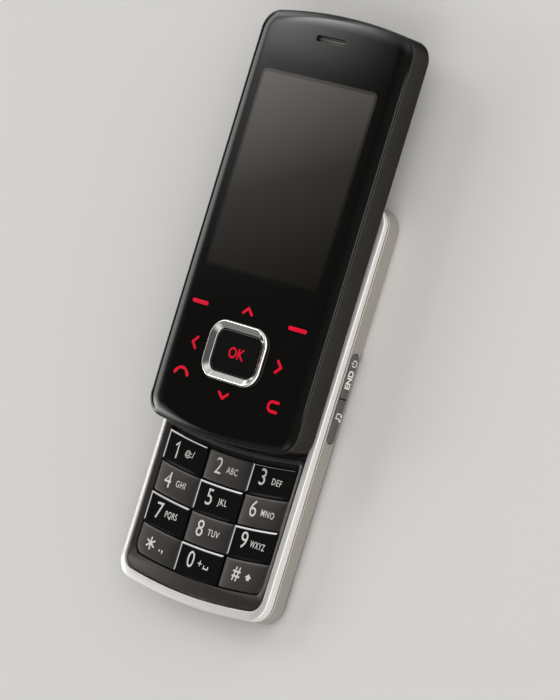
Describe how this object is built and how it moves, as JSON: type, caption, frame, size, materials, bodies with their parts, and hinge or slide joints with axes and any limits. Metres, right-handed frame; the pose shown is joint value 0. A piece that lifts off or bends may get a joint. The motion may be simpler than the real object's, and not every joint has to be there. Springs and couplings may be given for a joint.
{
  "type": "slider phone",
  "caption": "Slim slider phone, open: glossy crowned display half with touch icons and a ringed OK key, sliding over a base with a bowed number pad and bright rim.",
  "frame": {"origin": "under the middle of the open phone's box, on the plane that its back rests on", "axes": "+X to the right as the screen is read, +Y towards the earpiece end, +Z out of the screen"},
  "size_m": [0.0486, 0.1378, 0.0159],
  "materials": {
    "satin_metal": "satin dark metallic",
    "satin_black": "satin",
    "gloss_black": "polished",
    "bright_metal": "polished",
    "dark_key": "satin gloss",
    "light_key": "satin gloss",
    "circuit_board": "solder mask",
    "spring_steel": "rolled",
    "silicone": "matt",
    "battery_wrap": "film wrap",
    "moulded_black": "moulded",
    "copper_foil": "foil on a carrier",
    "flex_film": "amber film",
    "display": "dark glass, switched off",
    "lens": "polished"
  },
  "bodies": {
    "base": {"rear_housing": "satin_metal", "battery": "battery_wrap", "sim_holder": "moulded_black", "chrome_rim": "bright_metal", "main_board": "circuit_board", "shield_can": "spring_steel", "speaker": "moulded_black", "microphone": "spring_steel", "antenna": "copper_foil", "charge_socket": "spring_steel", "dome_sheet": "spring_steel", "keypad_mat": "silicone", "keypad_bezel": "satin_black", "base_deck": "moulded_black", "case_screw_1": "spring_steel", "case_screw_2": "spring_steel", "case_screw_3": "spring_steel", "case_screw_4": "spring_steel", "side_switch_right": "circuit_board", "side_switch_left": "circuit_board", "slide_plate": "spring_steel", "slide_spring": "spring_steel", "slide_flex": "flex_film"},
    "slider": {"slide_rail_left": "moulded_black", "slide_rail_right": "moulded_black", "slider_frame": "satin_metal", "slider_back_cover": "satin_black", "slider_screw_1": "spring_steel", "slider_screw_2": "spring_steel", "slider_screw_3": "spring_steel", "slider_screw_4": "spring_steel", "front_panel": "gloss_black", "ok_ring": "bright_metal", "touch_board": "circuit_board", "earpiece_mesh": "spring_steel", "earpiece_receiver": "moulded_black", "display_module": "display", "slider_board": "circuit_board", "vibration_motor": "spring_steel", "camera_module": "moulded_black", "camera_window": "lens"},
    "ok_key": {"ok_key": "gloss_black"},
    "key_1": {"key_1": "dark_key"},
    "key_2": {"key_2": "light_key"},
    "key_3": {"key_3": "dark_key"},
    "key_4": {"key_4": "light_key"},
    "key_5": {"key_5": "dark_key"},
    "key_6": {"key_6": "light_key"},
    "key_7": {"key_7": "dark_key"},
    "key_8": {"key_8": "light_key"},
    "key_9": {"key_9": "dark_key"},
    "key_star": {"key_star": "light_key"},
    "key_0": {"key_0": "dark_key"},
    "key_hash": {"key_hash": "light_key"},
    "end_key": {"end_key": "satin_metal"},
    "music_key": {"music_key": "satin_metal"},
    "volume_rocker": {"volume_rocker": "satin_metal"},
    "socket_cover": {"socket_cover": "satin_black"},
    "battery_cover": {"battery_cover": "satin_black"}
  },
  "joints": [
    {"name": "slider_slide", "type": "slide", "parent": "base", "child": "slider", "axis": [0, -1, 0], "range_m": [0, 0.0378], "deforming": ["slide_spring", "slide_flex"]},
    {"name": "ok_press", "type": "slide", "parent": "slider", "child": "ok_key", "axis": [0, 0, -1], "range_m": [0, 0.0003], "stiffness_N_per_m": 2500},
    {"name": "key_1_press", "type": "slide", "parent": "base", "child": "key_1", "axis": [0, 0, -1], "range_m": [0, 0.0003], "stiffness_N_per_m": 2500},
    {"name": "key_2_press", "type": "slide", "parent": "base", "child": "key_2", "axis": [0, 0, -1], "range_m": [0, 0.0003], "stiffness_N_per_m": 2500},
    {"name": "key_3_press", "type": "slide", "parent": "base", "child": "key_3", "axis": [0, 0, -1], "range_m": [0, 0.0003], "stiffness_N_per_m": 2500},
    {"name": "key_4_press", "type": "slide", "parent": "base", "child": "key_4", "axis": [0, 0, -1], "range_m": [0, 0.0003], "stiffness_N_per_m": 2500},
    {"name": "key_5_press", "type": "slide", "parent": "base", "child": "key_5", "axis": [0, 0, -1], "range_m": [0, 0.0003], "stiffness_N_per_m": 2500},
    {"name": "key_6_press", "type": "slide", "parent": "base", "child": "key_6", "axis": [0, 0, -1], "range_m": [0, 0.0003], "stiffness_N_per_m": 2500},
    {"name": "key_7_press", "type": "slide", "parent": "base", "child": "key_7", "axis": [0, 0, -1], "range_m": [0, 0.0003], "stiffness_N_per_m": 2500},
    {"name": "key_8_press", "type": "slide", "parent": "base", "child": "key_8", "axis": [0, 0, -1], "range_m": [0, 0.0003], "stiffness_N_per_m": 2500},
    {"name": "key_9_press", "type": "slide", "parent": "base", "child": "key_9", "axis": [0, 0, -1], "range_m": [0, 0.0003], "stiffness_N_per_m": 2500},
    {"name": "key_star_press", "type": "slide", "parent": "base", "child": "key_star", "axis": [0, 0, -1], "range_m": [0, 0.0003], "stiffness_N_per_m": 2500},
    {"name": "key_0_press", "type": "slide", "parent": "base", "child": "key_0", "axis": [0, 0, -1], "range_m": [0, 0.0003], "stiffness_N_per_m": 2500},
    {"name": "key_hash_press", "type": "slide", "parent": "base", "child": "key_hash", "axis": [0, 0, -1], "range_m": [0, 0.0003], "stiffness_N_per_m": 2500},
    {"name": "end_press", "type": "slide", "parent": "base", "child": "end_key", "axis": [-1, 0, 0], "range_m": [0, 0.00025], "stiffness_N_per_m": 2500},
    {"name": "music_press", "type": "slide", "parent": "base", "child": "music_key", "axis": [-1, 0, 0], "range_m": [0, 0.00025], "stiffness_N_per_m": 2500},
    {"name": "volume_tilt", "type": "hinge", "parent": "base", "child": "volume_rocker", "pos_m": [-0.02225, -0.015, 0.00275], "axis": [0, 0, 1], "range_deg": [-1.3, 1.3], "stiffness_Nm_per_rad": 0.3},
    {"name": "socket_cover_pull", "type": "slide", "parent": "base", "child": "socket_cover", "axis": [-1, 0, 0], "range_m": [0, 0.006]},
    {"name": "battery_cover_slide", "type": "slide", "parent": "base", "child": "battery_cover", "axis": [0, -1, 0], "range_m": [0, 0.066]}
  ]
}
